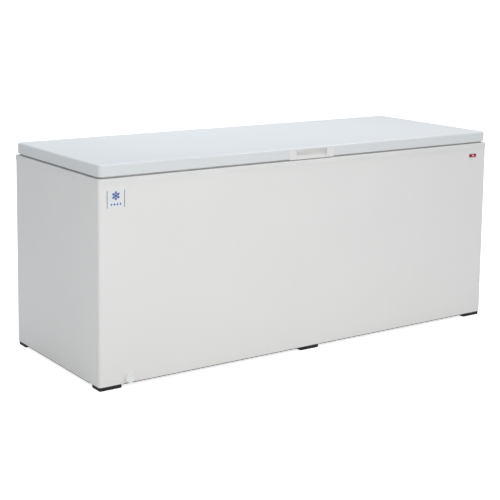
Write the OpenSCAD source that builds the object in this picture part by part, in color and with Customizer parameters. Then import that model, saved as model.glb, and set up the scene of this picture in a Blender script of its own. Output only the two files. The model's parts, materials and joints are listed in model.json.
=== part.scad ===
// Chest freezer with a spring-hinged lid, in millimetres.
// The origin is on the floor, under the middle of the whole freezer.
// X runs along the front, -Y is the front, +Z is up.

/* [Cabinet] */
// Width over the outer steel wrap
cabinet_w = 1950; // [1600:5:2400]
// Depth over the outer steel wrap
cabinet_d = 710; // [600:5:860]
// Height from the underside of the wrap to the top of the rim trim
cabinet_h = 774; // [630:1:930]
// Bend radius of the wrap's vertical corners
corner_r = 10; // [8:1:20]
// Thickness of the outer sheet
sheet_t = 1; // [0.8:0.1:1.5]
// Thickness of the walls, from the outer sheet to the inside of the tank
wall_t = 65; // [54:1:80]
// Thickness of the floor, from the underside of the base to the inside of the tank
floor_t = 75; // [62:1:100]
// Thickness of the tank's sheet
liner_t = 1.5; // [1:0.1:2]
// Corner radius inside the tank
liner_r = 25; // [15:1:40]
// Air left between foam and the pieces it lies against
foam_gap = 0.5; // [0.3:0.1:1]

/* [Rim trim] */
// How far the trim's lip stands out past the wrap
trim_lip = 2.5; // [2:0.5:6]
// Height of the lip outside the wrap
trim_skirt_h = 20; // [17:1:35]
// Thickness of the trim's plastic
trim_t = 2.5; // [2:0.1:3.5]
// How far the trim reaches over the tank's opening
trim_reach = 10; // [6:1:14]

/* [Lid] */
// Thickness of the lid, from the underside of its pan to its top
lid_t = 43; // [35:1:60]
// How far the lid's edge stands back from the wrap on every side
lid_inset = 3.5; // [1:0.5:6]
// Corner radius of the lid seen from above
lid_corner_r = 18; // [14:1:30]
// Radius of the lid's top edge
lid_edge_r = 8; // [5:0.5:12]
// Gap between the rim trim and the lid, which the gasket fills
gasket_h = 7; // [5:0.5:10]
// Width of the gasket
gasket_w = 14; // [10:1:20]
// How far the gasket stands back from the lid's edge
gasket_inset = 12; // [10:1:20]
// How far the lid's inner panel reaches down into the opening
plug_depth = 18; // [12:1:22]

/* [Lid handle] */
// Width of the handle's face plate
handle_w = 226; // [180:2:280]
// Width of the finger scoop
scoop_w = 156; // [100:2:170]
// Distance of the handle's middle from the lid's middle
handle_off = -10; // [-40:1:40]
// Height of the lid's edge below the finger scoop
scoop_rise = 5; // [4:0.5:8]
// Depth of the finger scoop
scoop_d = 18; // [14:1:24]
// Thickness of the handle's plastic
handle_t = 1.8; // [1.2:0.1:2.5]

/* [Hinges] */
// Distance of each hinge from the cabinet's end
hinge_inset = 260; // [150:5:400]
// Width of a hinge
hinge_w = 80; // [66:1:120]
// Radius of the hinge pin
hinge_pin_r = 3; // [2.5:0.1:4]
// Radius of the hinge barrel
hinge_barrel_r = 7; // [5.8:0.1:8.5]
// Distance of the pin behind the cabinet
hinge_back = 14; // [11.5:0.5:17]
// Thickness of the hinge leaves
leaf_t = 3; // [2:0.1:4]
// Height of the cabinet leaf below the barrel
leaf_h = 85; // [60:1:110]

/* [Feet] */
// Height of the feet
foot_h = 16; // [12:1:30]
// Length of a foot along the front
foot_l = 95; // [74:1:120]
// Depth of a foot
foot_d = 65; // [40:1:80]
// How far the feet stand back from the wrap
foot_inset = 3; // [2:1:20]
// Distance between a foot's two screws
foot_screw_gap = 50; // [30:1:60]

/* [Drain] */
// Distance of the drain from the cabinet's left side
drain_from_left = 124; // [120:1:250]
// Height of the drain above the underside of the wrap
drain_up = 20.5; // [17.5:0.5:26]
// Radius of the drain cap
drain_cap_r = 18.5; // [16:0.5:22]
// How far the cap stands out past the wrap
drain_cap_l = 14; // [11.5:0.5:18]
// Radius of the spout
spout_r = 12; // [11.5:0.1:12.6]
// Outer radius of the drain tube
drain_tube_r = 9; // [7.5:0.1:10.5]

/* [Front fittings] */
// Distance of the pilot lamp from the cabinet's right side
lamp_from_right = 82; // [45:1:150]
// Distance of the pilot lamp below the top of the rim
lamp_down = 53; // [42:1:90]
// Width of the lamp's bezel
lamp_w = 40; // [30:1:46]
// Height of the lamp's bezel
lamp_h = 14; // [12:1:20]
// Distance of the badge plate from the cabinet's left side
badge_from_left = 32; // [15:1:100]
// Distance of the badge plate below the top of the rim
badge_down = 42; // [35:1:100]
// Width of the badge plate
badge_w = 76; // [40:1:120]
// Height of the badge plate
badge_h = 68; // [30:1:100]

/* [Machine bay] */
// Width of the machine bay inside the right end
bay_w = 330; // [275:1:400]
// Height of the machine bay
bay_h = 290; // [241:1:348]
// Foam between the machine bay and the tank
bay_foam_t = 50; // [40:1:70]
// Radius of the compressor's shell
compressor_r = 80; // [66:1:97]
// Height of the compressor's shell
compressor_h = 170; // [140:1:205]
// Radius of the condenser fan
fan_r = 95; // [78:1:115]
// Number of fins on the condenser
fin_count = 30; // [20:1:40]
// Radius of the copper pipes
pipe_r = 4; // [3:0.1:5]

/* [Baskets] */
// Length of a basket along the tank
basket_l = 380; // [260:5:480]
// Height of a basket
basket_h = 200; // [140:5:240]
// Thickness of a basket's wire
wire_d = 4; // [3:0.1:5]
// Distance of each basket from the tank's end wall
basket_from_end = 60; // [20:5:120]
// Largest gap between the wires of a basket
basket_gap = 55; // [40:1:80]

/* [Hidden] */
$fn = 64;
lap = 0.01; // overlap that joins two shapes into one solid
past = 1; // how far a cutting shape runs past the face it opens
hole_gap = 0.2; // room round a screw or a body in its hole
half_w = cabinet_w / 2;
y_mid = (drain_cap_l - hinge_back - hinge_barrel_r - 1) / 2; // centres the whole depth on the origin
y_front = y_mid - cabinet_d / 2;
y_rear = y_mid + cabinet_d / 2;
z_base = foot_h;
pan_t = sheet_t;
pan_top = z_base + pan_t;
pan_edge_h = 4; // height of the base's upturned edge
z_rim = z_base + cabinet_h;
wrap_h = cabinet_h - trim_t;
rear_flange_w = 30; // width of the wrap's folded rear edges

// Tank
tank_w = cabinet_w - 2 * wall_t; // inside
tank_d = cabinet_d - 2 * wall_t;
tank_floor = z_base + floor_t;
bay_left = half_w - sheet_t - bay_w; // the bay's left inside face
bay_top = pan_top + bay_h; // the bay's inside ceiling
step_x = bay_left - sheet_t - bay_foam_t; // the tank's outside face beside the bay
step_z = bay_top + sheet_t + bay_foam_t; // the tank's outside face above the bay
liner_top = z_rim - trim_t;
liner_flange = 20; // how far the tank's upper edge reaches over the wall's foam
rim_bead_h = 8; // height of the trim's inner lip, which the basket hooks hang on
coil_band = 2 * pipe_r + 2; // depth of the room for the evaporator between tank and foam
coil_bend = liner_r + liner_t + coil_band / 2;
coil_room_low = step_z + 20;
coil_room_top = z_rim - 45;
coil_start_z = bay_top + 20;
coil_low = coil_room_low + coil_bend + 6;
coil_passes = 1 + floor((coil_room_top - pipe_r - 2 - coil_low) / (2 * coil_bend + 3));
coil_pitch = (coil_room_top - pipe_r - 2 - coil_low) / max(1, coil_passes - 1);

// Lid
lid_w = cabinet_w - 2 * lid_inset;
lid_d = cabinet_d - 2 * lid_inset;
lid_z = z_rim + gasket_h;
lid_top = lid_z + lid_t;
lid_front = y_front + lid_inset;
lid_rear = y_rear - lid_inset;
lid_lip_w = 10; // width of the pan's folded lower edge
inner_pan_t = 1.5;
opening_w = tank_w - 2 * trim_reach;
opening_d = tank_d - 2 * trim_reach;
plug_gap = 14; // room between the lid's inner panel and the opening, for the basket hooks

// Handle
handle_z = lid_z - 4; // the face plate hangs a little over the gap
handle_h = lid_t - lid_edge_r + 2;
handle_proud = 1.5;
scoop_z = lid_z + scoop_rise;
scoop_h = lid_t - lid_edge_r - 3 - scoop_rise;
cup_w = scoop_w + 2 * handle_t;
cup_d = scoop_d + handle_t;
cup_h = scoop_h + 2 * handle_t;
handle_fit = 0.4;
handle_room = 3; // foam left out round the cup

// Hinges
hinge_y = y_rear + hinge_back;
hinge_z = lid_z - 4;
pin_fit = 0.05;
knuckle_w = 14;
knuckle_gap = 0.5;
lid_knuckle_w = 21;
lid_leaf_h = lid_t - lid_edge_r - 4;
hinge_screw_r = 2.4;
hinge_screw_head = [4.6, 2.4]; // radius and height of a hinge screw's head
leaf_plug = 20; // depth of foam left out behind each hinge screw
leaf_screw_in = 14; // distance of the screws from the leaf's ends

// Feet
foot_r = 8;
foot_x = half_w - foot_inset - foot_l / 2;
foot_y = cabinet_d / 2 - foot_inset - foot_d / 2;
foot_screw_r = 3;
foot_recess_r = 7;
foot_recess_h = 8;
foot_step = 3; // height of the foot's narrower sole
lip_drop = 4; // how far the base's lip hangs below the wrap
lip_inset = 2;

// Drain
drain_x = -half_w + drain_from_left;
drain_z = z_base + drain_up;
spout_flange_r = drain_cap_r - 3;
spout_in = 40; // how far the spout reaches in behind the wrap
spout_flange_t = 2;
spout_socket = 20; // length of the tube inside the spout
cap_fit = 0.3;
tube_wall = 1.5;
tube_bend = 24;
drain_y = y_front + wall_t + 50;

// Lamp and badge
lamp_x = half_w - lamp_from_right;
lamp_z = z_rim - lamp_down;
lamp_room = [48, 40, 32]; // pocket in the foam behind the lamp
lamp_rim = 3; // how far the bezel reaches past the lamp's body at its ends
lamp_deep = 24; // how far the lamp's body reaches in
lens_proud = 2.5; // how far the lens stands out past the wrap
badge_x = -half_w + badge_from_left + badge_w / 2;
badge_z = z_rim - badge_down - badge_h / 2;
badge_t = 0.8;

// Machine bay
deck_t = 2;
deck_top = pan_top + deck_t;
bay_mid = bay_left + bay_w / 2;
compressor_x = bay_mid - 8;
compressor_y = y_rear - 150;
mount_l = 170;
mount_w = 130;
mount_plate_t = 3;
bolt_r = 4;
grommet_neck_r = 8;
grommet_cap = 5; // height of the grommet above the mounting plate
seam_proud = 4; // how far the shell's welded seam stands out
grommet_h = 15;
mount_z = deck_top + grommet_h;
shell_z = mount_z + mount_plate_t;
condenser_w = bay_w - 80;
condenser_d = 50;
condenser_h = bay_h - 66;
condenser_y = y_front + 85;
condenser_z = deck_top + 16;
condenser_passes = 8;
fin_t = 0.6;
fan_z = condenser_z + condenser_h / 2;
fan_x = bay_mid + 10;
shroud_y = condenser_y + condenser_d / 2 + 12;
shroud_t = 1.5;
fan_y = shroud_y + 26;
fan_gap = 6; // room between the blades' tips and the shroud
motor_r = 36;
motor_y = fan_y + 22; // the motor's front face
motor_l = 44;
shaft_r = 3;
blade_angle = 28;
bracket_t = 2;
pipe_bend = 14;
line_bend = 10; // bend radius of the lines beside the condenser
pipe_x = bay_left + 24; // the pipes' corridor along the bulkhead
stub_l = 95; // reach of the compressor's stubs from its axis
stub_x = 40; // distance of each stub from the compressor's axis
stub_z = shell_z - 0.5 + compressor_h / 2 + 22;
tube_end = 12; // how far the condenser's two ends stand out past its fins
riser_x = tank_w / 2 + liner_t + coil_band / 2; // where the evaporator's tube comes down into the bay
riser_y = y_mid + 60;

// Grilles
rear_grille_t = 1.5;
side_grille_t = 1.5;
side_window_d = cabinet_d - 2 * 150;
side_window_h = bay_h - 100;
side_window_z = z_base + 45;
grille_lap = 14;
grille_screw_r = 2;
slat_angle = 28;
rear_slot_h = 7;
rear_slot_pitch = 16;
rear_slot_low = 70; // height of the lowest slot above the base
knob_r = 19;
knob_l = 13;
thermostat_x = bay_mid + 80;
thermostat_z = bay_top - 50;
inlet_x = bay_mid - 90;
inlet_z = z_base + 42;
gland_r = 9; // radius of the cord gland's neck
gland_bore_r = 4.5;
spindle_r = 3;

// Baskets
hook_seat = 1.5; // room between the lid's inner panel and the baskets
basket_d = opening_d - 16;
basket_rim_z = z_rim - plug_depth - hook_seat - wire_d - 1;
basket_corner_r = 24;
basket_bend = 12;
hook_lift = 0.3; // running gap between the hooks and the rim
basket_left_x = -tank_w / 2 + basket_from_end + basket_l / 2;
basket_right_x = tank_w / 2 - basket_from_end - basket_l / 2;
hook_reach = 16;

// ---- Shared shapes ----

// A slab with rounded upright corners, centred in X and Y, standing on z = 0.
module round_slab(w, d, h, r) {
    translate([-w / 2, -d / 2 + r, 0]) cube([w, d - 2 * r, h]);
    for (side = [-1, 1]) {
        translate([-w / 2 + r, side * (d / 2 - r / 2) - r / 2, 0]) cube([w - 2 * r, r, h]);
        for (end = [-1, 1])
            translate([end * (w / 2 - r), side * (d / 2 - r), 0])
                rotate([0, 0, end > 0 ? (side > 0 ? 0 : -90) : (side > 0 ? 90 : 180)])
                    rotate_extrude(angle = 90) square([r, h]);
    }
}

// A wall of one thickness round a rounded rectangle.
module round_wall(w, d, h, r, t) {
    difference() {
        round_slab(w, d, h, r);
        translate([0, 0, -past]) round_slab(w - 2 * t, d - 2 * t, h + 2 * past, max(r - t, 0.5));
    }
}

// Sweeps a profile round a rounded rectangle.
// The profile's x runs out from the corner's centre, so x = r is the outer face.
module frame_sweep(w, d, r) {
    for (side = [0 : 3]) {
        run = side % 2 == 0 ? w - 2 * r : d - 2 * r;
        out = (side % 2 == 0 ? d : w) / 2 - r;
        rotate([0, 0, 90 * side]) {
            translate([-run / 2, out, 0]) rotate([90, 0, 90]) linear_extrude(run) children();
            translate([run / 2, out, 0]) rotate_extrude(angle = 90) children();
        }
    }
}

// A profile as wide as w and as high as h, with its top outer corner rounded.
module crowned_profile(w, h, r) {
    square([w, h - r]);
    translate([0, h - r - lap]) square([w - r, r + lap]);
    translate([w - r, h - r]) intersection() {
        circle(r);
        square(r);
    }
}

// A block from its low corner to its high corner.
module block(low, high) {
    translate(low) cube(high - low);
}

// A cylinder along Y from y0 to y1.
module rod_y(x, z, r, y0, y1) {
    translate([x, y0, z]) rotate([-90, 0, 0]) cylinder(r = r, h = y1 - y0);
}

// A cylinder along X from x0 to x1.
module rod_x(y, z, r, x0, x1) {
    translate([x0, y, z]) rotate([0, 90, 0]) cylinder(r = r, h = x1 - x0);
}

function unit(v) = v / norm(v);

// A pipe of radius r through points whose legs are square to each other,
// with elbows of radius bend.
module pipe(points, r, bend) {
    last = len(points) - 1;
    for (i = [0 : last - 1]) {
        along = unit(points[i + 1] - points[i]);
        from = points[i] + along * (i > 0 ? bend : 0);
        to = points[i + 1] - along * (i < last - 1 ? bend : 0);
        frame = abs(along.z) > 0.5 ? [1, 0, 0] : [0, 0, 1];
        across = cross(frame, along);
        if (norm(to - from) > lap)
            multmatrix([[frame.x, across.x, along.x, from.x], [frame.y, across.y, along.y, from.y],
                    [frame.z, across.z, along.z, from.z]])
                cylinder(r = r, h = norm(to - from));
        if (i < last - 1) {
            next = unit(points[i + 2] - points[i + 1]);
            centre = points[i + 1] - along * bend + next * bend;
            up = cross(along, next);
            multmatrix([[-next.x, along.x, up.x, centre.x], [-next.y, along.y, up.y, centre.y],
                    [-next.z, along.z, up.z, centre.z]])
                rotate_extrude(angle = 90) translate([bend, 0]) circle(r);
        }
    }
}

// A pan-head screw along +Z with its head's underside at z = 0 and a cross slot in the head.
module screw(r, length, head_r, head_h) {
    slot_w = 0.9;
    slot_depth = 1;
    translate([0, 0, -length]) cylinder(r = r, h = length);
    difference() {
        cylinder(r = head_r, h = head_h);
        for (turn = [0, 90]) rotate([0, 0, turn])
            translate([-head_r / 2, -slot_w / 2, head_h - slot_depth])
                cube([head_r, slot_w, 2 * slot_depth]);
    }
}

// A hole for a screw of radius r through the sheets at z = 0.
module screw_hole(r, depth = 12) {
    cylinder(r = r + hole_gap, h = depth, center = true);
}

// ---- Cabinet ----

module outer_wrap() {
    color("whitesmoke") difference() {
        translate([0, y_mid, z_base]) round_wall(cabinet_w, cabinet_d, wrap_h, corner_r, sheet_t);
        block([-half_w + rear_flange_w, y_rear - 2 * sheet_t, z_base - past],
            [half_w - rear_flange_w, y_rear + past, z_rim]);
        rod_y(drain_x, drain_z, spout_r + hole_gap, y_front - past, y_front + sheet_t + past);
        lamp_block(lamp_rim, -past, sheet_t + past);
        block([half_w - sheet_t - past, y_mid - side_window_d / 2, side_window_z],
            [half_w + past, y_mid + side_window_d / 2, side_window_z + side_window_h]);
        side_grille_screw_places() rotate([0, 90, 0]) screw_hole(grille_screw_r);
        rear_flange_screw_places() rotate([90, 0, 0]) screw_hole(grille_screw_r);
    }
}

module rear_panel() {
    color("gainsboro") difference() {
        block([-half_w + corner_r, y_rear - 2 * sheet_t, pan_top],
            [half_w - corner_r, y_rear - sheet_t, z_rim - trim_t]);
        block([bay_left, y_rear - 5, pan_top - past], [half_w, y_rear, bay_top]);
        hinge_places() leaf_screw_places() rotate([90, 0, 0]) screw_hole(hinge_screw_r);
    }
}

module base_pan() {
    fit = 0.2; // room between the base's edge and the sheets round it
    foot_room = [foot_l / 2 + 2, foot_d / 2 + 8];
    inner_w = cabinet_w - 2 * sheet_t - 2 * fit;
    inner_d = cabinet_d - 3 * sheet_t - 2 * fit;
    color("darkgray") difference() {
        translate([0, y_mid - sheet_t / 2, z_base]) {
            round_slab(inner_w, inner_d, pan_t, corner_r - sheet_t);
            translate([0, 0, pan_t - lap])
                round_wall(inner_w, inner_d, pan_edge_h, corner_r - sheet_t, sheet_t);
            translate([0, 0, -lip_drop])
                round_wall(cabinet_w - 2 * lip_inset, inner_d - 2 * lip_inset, lip_drop + lap,
                    corner_r, sheet_t);
        }
        foot_places() {
            block([-foot_room.x, -foot_room.y, -past], [foot_room.x, foot_room.y, z_base]);
            foot_screw_places() translate([0, 0, z_base]) screw_hole(foot_screw_r);
        }
        block([bay_left - sheet_t - fit, y_front, pan_top],
            [bay_left + fit, y_rear, pan_top + 2 * pan_edge_h]);
        rod_y(drain_x, drain_z, spout_r + 2 * foam_gap, y_front, y_front + 2 * corner_r);
    }
}

// The room that the tank takes, outside its sheet, grown by extra on its sides.
module tank_outside(extra, top) {
    grow = liner_t + extra;
    translate([0, y_mid, step_z - extra])
        round_slab(tank_w + 2 * grow, tank_d + 2 * grow, top - step_z + extra, liner_r + grow);
    left = -tank_w / 2 - grow;
    right = step_x + extra;
    translate([(left + right) / 2, y_mid, tank_floor - grow])
        round_slab(right - left, tank_d + 2 * grow, step_z - tank_floor + grow + extra, liner_r + grow);
}

module tank_inside() {
    translate([0, y_mid, step_z + liner_t]) round_slab(tank_w, tank_d, z_rim - step_z, liner_r);
    left = -tank_w / 2;
    right = step_x - liner_t;
    translate([(left + right) / 2, y_mid, tank_floor])
        round_slab(right - left, tank_d, z_rim - tank_floor, liner_r);
}

module tank_liner() {
    color("ghostwhite") difference() {
        union() {
            tank_outside(0, liner_top);
            translate([0, y_mid, liner_top - liner_t])
                round_slab(tank_w + 2 * liner_flange, tank_d + 2 * liner_flange, liner_t,
                    liner_r + liner_flange);
        }
        tank_inside();
        translate([drain_x, drain_y, tank_floor - 10]) cylinder(r = drain_tube_r - tube_wall, h = 20);
    }
}

module cabinet_foam() {
    left = -half_w + sheet_t + foam_gap;
    front = y_front + sheet_t + foam_gap;
    rear = y_rear - 2 * sheet_t - foam_gap;
    low = pan_top + foam_gap;
    high = liner_top - liner_t - foam_gap;
    color("khaki") difference() {
        translate([0, (front + rear) / 2, low])
            round_slab(-2 * left, rear - front, high - low, corner_r - sheet_t);
        tank_outside(foam_gap, z_rim);
        translate([0, y_mid, coil_room_low])
            round_slab(tank_w + 2 * liner_t + 2 * coil_band, tank_d + 2 * liner_t + 2 * coil_band,
                coil_room_top - coil_room_low, liner_r + liner_t + coil_band);
        block([bay_left - sheet_t - foam_gap, y_front - past, 0],
            [half_w + past, y_rear + past, bay_top + sheet_t + foam_gap]);
        translate([0, y_mid - sheet_t / 2, pan_top - past]) // room for the base's upturned edge
            round_wall(cabinet_w, cabinet_d, pan_edge_h + 2, corner_r, 2 * sheet_t + foam_gap + 1);
        rod_y(drain_x, drain_z, spout_r + foam_gap, y_front - past, y_front + spout_in + 2);
        drain_path(drain_tube_r + foam_gap, 0, tank_floor + 5);
        block([lamp_x - lamp_room.x / 2, y_front - 1, lamp_z - lamp_room.z / 2],
            [lamp_x + lamp_room.x / 2, y_front + lamp_room.y, lamp_z + lamp_room.z / 2]);
        translate([riser_x, riser_y, bay_top - past])
            cylinder(r = pipe_r + 2, h = coil_room_low - bay_top + 2 * past);
        hinge_places() leaf_screw_places() rotate([90, 0, 0]) screw_hole(hinge_screw_r + 1, 2 * leaf_plug);
    }
}

module rim_trim() {
    w = cabinet_w + 2 * trim_lip;
    d = cabinet_d + 2 * trim_lip;
    r = corner_r + trim_lip;
    edge_r = 2;
    color("whitesmoke") difference() {
        translate([0, y_mid, 0]) {
            translate([0, 0, z_rim - trim_skirt_h]) frame_sweep(w, d, r) difference() {
                crowned_profile(r, trim_skirt_h, edge_r);
                square([r - trim_lip + hole_gap, trim_skirt_h - trim_t]);
            }
            translate([0, 0, z_rim - trim_t]) difference() {
                translate([-w / 2 + r, -d / 2 + r, 0]) cube([w - 2 * r, d - 2 * r, trim_t]);
                translate([0, 0, -past]) round_slab(opening_w, opening_d, trim_t + 2 * past, liner_r);
            }
            translate([0, 0, z_rim - trim_t - rim_bead_h])
                round_wall(opening_w + 2 * trim_t, opening_d + 2 * trim_t, rim_bead_h + lap,
                    liner_r + trim_t, trim_t);
        }
        hinge_places() block([-hinge_w / 2 - 3, 0, -trim_skirt_h - 5], [hinge_w / 2 + 3, 10, trim_t]);
    }
}

// ---- Feet ----

module foot_places() {
    for (x = [-foot_x, 0, foot_x])
        for (side = [-1, 1]) translate([x, y_mid + side * foot_y, 0]) children();
}

module foot_screw_places() {
    for (end = [-1, 1]) translate([end * foot_screw_gap / 2, 0, 0]) children();
}

module foot(column, row) {
    color("#1c1c1d") translate([column * foot_x, y_mid + row * foot_y, 0]) difference() {
        union() {
            round_slab(foot_l - 4, foot_d - 4, foot_step + past, foot_r - 2);
            translate([0, 0, foot_step]) round_slab(foot_l, foot_d, foot_h - foot_step, foot_r);
        }
        foot_screw_places() {
            translate([0, 0, -past]) cylinder(r = foot_recess_r, h = foot_recess_h + past);
            cylinder(r = foot_screw_r + hole_gap, h = foot_h + past);
        }
    }
}

module foot_screws() {
    length = foot_h + pan_t - foot_recess_h;
    color("silver") foot_places() foot_screw_places()
        translate([0, 0, foot_recess_h]) mirror([0, 0, 1])
            screw(foot_screw_r, length, foot_recess_r - 1, 3.5);
}

// ---- Drain ----

module drain_spout() {
    socket_y = y_front + spout_in - spout_socket;
    color("whitesmoke") difference() {
        union() {
            rod_y(drain_x, drain_z, spout_r, y_front - drain_cap_l + 4, y_front + spout_in);
            rod_y(drain_x, drain_z, spout_flange_r, y_front - spout_flange_t, y_front);
        }
        rod_y(drain_x, drain_z, drain_tube_r - tube_wall, y_front - drain_cap_l, y_front + spout_in + past);
        rod_y(drain_x, drain_z, drain_tube_r + 0.1, socket_y, y_front + spout_in + past);
    }
}

module drain_cap() {
    face_y = y_front - drain_cap_l;
    color("white") difference() {
        union() {
            rod_y(drain_x, drain_z, drain_cap_r, face_y + 2, y_front - 0.4);
            rod_y(drain_x, drain_z, drain_cap_r - 2, face_y, face_y + 3);
        }
        rod_y(drain_x, drain_z, spout_flange_r + cap_fit, y_front - spout_flange_t - 0.4, y_front);
        rod_y(drain_x, drain_z, spout_r + cap_fit, face_y + 3.4, y_front);
    }
}

// The drain tube's way, from a length `back` before its socket's bottom up to the height `top`.
module drain_path(r, back, top) {
    start = y_front + spout_in - spout_socket - back;
    pipe([[drain_x, start, drain_z], [drain_x, drain_y, drain_z], [drain_x, drain_y, top]], r, tube_bend);
}

module drain_tube() {
    color("lightgray") difference() {
        drain_path(drain_tube_r, 0, tank_floor - liner_t);
        drain_path(drain_tube_r - tube_wall, 5, tank_floor + 5);
    }
}

module drain_plug() {
    flange_t = 3;
    neck_h = 7;
    color("#2a2a2c") translate([drain_x, drain_y, tank_floor]) {
        translate([0, 0, -12]) cylinder(r = drain_tube_r - tube_wall - cap_fit, h = 12 + lap);
        cylinder(r = 15, h = flange_t);
        translate([0, 0, flange_t - lap]) cylinder(r = 4, h = neck_h);
        translate([0, 0, flange_t + neck_h - 2 * lap]) cylinder(r = 7, h = flange_t);
    }
}

// ---- Front fittings ----

// A block behind the lamp's bezel, from y0 to y1 past the front, set in from the bezel's ends
// by inset and from its long edges by 1 mm less.
module lamp_block(inset, y0, y1) {
    half_h = lamp_h / 2 - inset + 1;
    block([lamp_x - lamp_w / 2 + inset, y_front + y0, lamp_z - half_h],
        [lamp_x + lamp_w / 2 - inset, y_front + y1, lamp_z + half_h]);
}

module lamp_housing() {
    color("#5a1414") difference() {
        union() {
            translate([lamp_x, y_front - 2, lamp_z]) rotate([-90, 0, 0]) round_slab(lamp_w, lamp_h, 2, 2.5);
            lamp_block(lamp_rim + hole_gap, -lap, lamp_deep);
        }
        lamp_block(lamp_rim + 1.5, -3, lamp_deep / 2);
    }
}

module lamp_lens() {
    pad = [lamp_w - 12, lamp_h - 8.4, 1];
    color("crimson") {
        lamp_block(lamp_rim + 1.7, -lens_proud, lamp_deep / 2 - 2);
        translate([lamp_x, y_front - lens_proud - pad.z, lamp_z]) rotate([-90, 0, 0])
            round_slab(pad.x, pad.y, pad.z + lap, 1.2);
    }
}

module badge_plate() {
    color("white") translate([badge_x, y_front - badge_t, badge_z]) rotate([-90, 0, 0])
        round_slab(badge_w, badge_h, badge_t, 2);
}

// ---- Machine bay ----

module bay_bulkhead() {
    fit = 0.3;
    shrink = 2 * (sheet_t + fit);
    color("gainsboro") difference() {
        intersection() {
            block([bay_left - sheet_t, y_front, pan_top],
                [half_w, y_rear - 2 * sheet_t - fit, bay_top + sheet_t]);
            translate([0, y_mid, 0])
                round_slab(cabinet_w - shrink, cabinet_d - shrink, z_rim, corner_r - sheet_t - fit);
        }
        block([bay_left, y_front, pan_top - past], [half_w, y_rear, bay_top]);
        translate([riser_x, riser_y, bay_top - past]) cylinder(r = pipe_r + 1.5, h = 5);
    }
}

module machine_deck() {
    rail_h = 12;
    low = [bay_left + 10, y_front + 12, pan_top];
    high = [half_w - sheet_t - 10, y_rear - 12, deck_top];
    color("darkgray") difference() {
        union() {
            block(low, high);
            for (x = [low.x, high.x - deck_t])
                block([x, low.y, pan_top], [x + deck_t, high.y, pan_top + rail_h]);
        }
        mount_places() translate([0, 0, pan_top]) screw_hole(bolt_r + 0.1);
    }
}

module mount_places() {
    for (x = [-1, 1])
        for (y = [-1, 1])
            translate([compressor_x + x * mount_l / 2, compressor_y + y * mount_w / 2, 0]) children();
}

// The compressor shell's half outline, turned round its axis.
module shell_profile() {
    dome = 34;
    translate([0, dome]) square([compressor_r, compressor_h - 2 * dome]);
    square([compressor_r - dome, compressor_h]);
    translate([compressor_r - dome, 0]) {
        translate([0, compressor_h - dome]) intersection() {
            circle(dome);
            square(dome);
        }
        translate([0, dome]) intersection() {
            circle(dome);
            translate([0, -dome]) square(dome);
        }
    }
}

module compressor() {
    seam_h = 6;
    plate = [mount_l + 36, mount_w + 36];
    color("#202124") {
        translate([compressor_x, compressor_y, shell_z - 0.5]) {
            rotate_extrude() shell_profile();
            translate([0, 0, (compressor_h - seam_h) / 2])
                cylinder(r = compressor_r + seam_proud, h = seam_h);
        }
        for (side = [-1, 1])
            rod_y(compressor_x + side * stub_x, stub_z, pipe_r + 1.5, compressor_y - stub_l, compressor_y);
        difference() {
            translate([compressor_x, compressor_y, mount_z])
                round_slab(plate.x, plate.y, mount_plate_t, 16);
            mount_places() translate([0, 0, mount_z]) screw_hole(grommet_neck_r + 0.1);
        }
    }
}

module compressor_grommets() {
    plate_top = grommet_h + mount_plate_t;
    bore = bolt_r + 0.3;
    color("#151515") mount_places() translate([0, 0, deck_top]) rotate_extrude()
        polygon([[bore, 0], [13, 0], [13, grommet_h], [grommet_neck_r, grommet_h],
                [grommet_neck_r, plate_top],
                [12, plate_top], [12, plate_top + grommet_cap], [bore, plate_top + grommet_cap]]);
}

module compressor_bolts() {
    washer_z = mount_z + mount_plate_t + grommet_cap;
    washer_t = 1.6;
    color("silver") mount_places() {
        translate([0, 0, pan_top]) cylinder(r = bolt_r, h = washer_z - pan_top + 1);
        translate([0, 0, washer_z]) cylinder(r = 10, h = washer_t);
        translate([0, 0, washer_z + washer_t - lap]) cylinder(r = 7.5, h = 6, $fn = 6);
    }
}

module compressor_terminal_cover() {
    box = [60, 78, 52];
    color("#2b2b2d") difference() {
        translate([compressor_x - box.x / 2, compressor_y + 40, shell_z + 60]) cube(box);
        translate([compressor_x, compressor_y, shell_z])
            cylinder(r = compressor_r + seam_proud + 0.5, h = compressor_h);
    }
}

function pass_z(i) = condenser_z + condenser_h * (i + 0.5) / condenser_passes;
condenser_left = bay_mid + 10 - condenser_w / 2;
condenser_right = condenser_left + condenser_w;

module condenser_fins() {
    pitch = (condenser_w - fin_t) / (fin_count - 1);
    color("lightsteelblue") for (i = [0 : fin_count - 1])
        translate([condenser_left + i * pitch, condenser_y, condenser_z]) rotate([90, 0, 90])
            linear_extrude(fin_t) difference() {
                translate([-condenser_d / 2, 0]) square([condenser_d, condenser_h]);
                for (k = [0 : condenser_passes - 1])
                    translate([0, pass_z(k) - condenser_z]) circle(pipe_r + hole_gap);
            }
}

// One length of tube to and fro through the fins, with round U-bends at the ends.
module condenser_tube() {
    bend = condenser_h / condenser_passes / 2;
    out = 3; // how far the U-bends stand out past the fins
    color("peru") for (i = [0 : condenser_passes - 1]) {
        first = i == 0;
        last = i == condenser_passes - 1;
        rod_x(condenser_y, pass_z(i), pipe_r, condenser_left - (first || last ? tube_end : out),
            condenser_right + out);
        if (!last)
            translate([i % 2 == 0 ? condenser_right + out : condenser_left - out, condenser_y,
                    pass_z(i) + bend])
                rotate([90, 0, 0]) rotate([0, 0, i % 2 == 0 ? -90 : 90])
                    rotate_extrude(angle = 180) translate([bend, 0]) circle(pipe_r);
    }
}

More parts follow.
